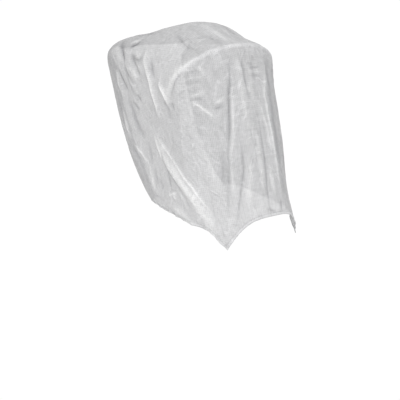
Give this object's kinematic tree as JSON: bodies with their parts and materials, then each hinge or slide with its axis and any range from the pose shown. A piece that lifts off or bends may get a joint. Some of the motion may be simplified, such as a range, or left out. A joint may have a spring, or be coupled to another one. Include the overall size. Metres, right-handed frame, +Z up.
{
  "type": "stroller mosquito net",
  "caption": "Hood-shaped cover of fine white netting with a turned elastic hem, open underneath and at the back, for a stroller's canopy and seat.",
  "frame": {"origin": "on the inner face at the top of the dome, where the net rests on a canopy", "axes": "+X to the front of the stroller, +Y to its left, +Z up"},
  "size_m": [0.8625, 0.4324, 0.7323],
  "materials": {
    "netting": "sheer matt polyester netting, finely woven"
  },
  "bodies": {
    "root": {"net_hood": "netting"}
  },
  "joints": []
}
